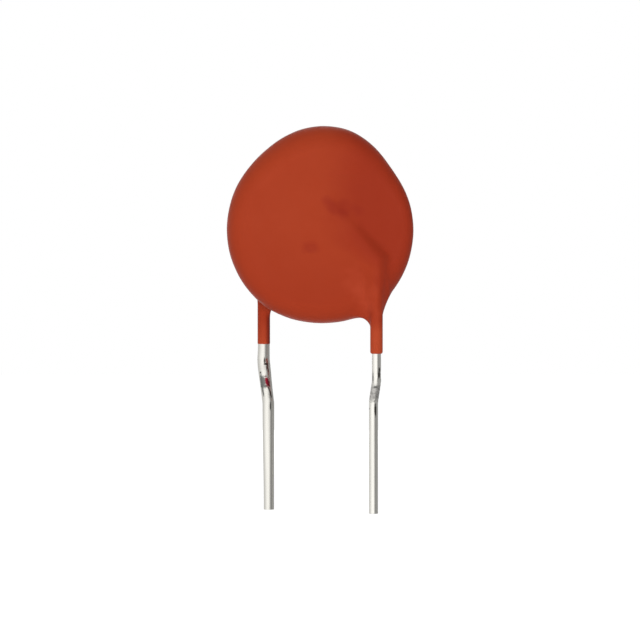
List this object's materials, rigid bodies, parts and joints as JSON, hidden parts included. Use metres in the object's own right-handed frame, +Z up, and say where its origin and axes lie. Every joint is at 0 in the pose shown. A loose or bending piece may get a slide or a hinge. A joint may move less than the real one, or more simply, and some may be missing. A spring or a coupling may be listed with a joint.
{
  "type": "ptc thermistor",
  "caption": "Red dipped disc thermistor standing on two kinked wire leads, with a lead's ridge under the front of its coating.",
  "frame": {"origin": "on the seating plane, where the kinks end, midway between the two leads", "axes": "+Z up along the leads to the disc, +X to the right seen from the front, -Y out of the front face"},
  "size_m": [0.0134, 0.004, 0.0278],
  "materials": {
    "red_lacquer": "satin brick-red dipped lacquer",
    "dark_ceramic": "matt sintered ceramic",
    "silver_layer": "matt fired silver",
    "solder": "dull tin solder",
    "tinned_wire": "bright tinned copper"
  },
  "bodies": {
    "root": {"coating": "red_lacquer", "ceramic_disc": "dark_ceramic", "front_electrode": "silver_layer", "back_electrode": "silver_layer", "front_solder": "solder", "back_solder": "solder", "front_lead": "tinned_wire", "back_lead": "tinned_wire"}
  },
  "joints": []
}
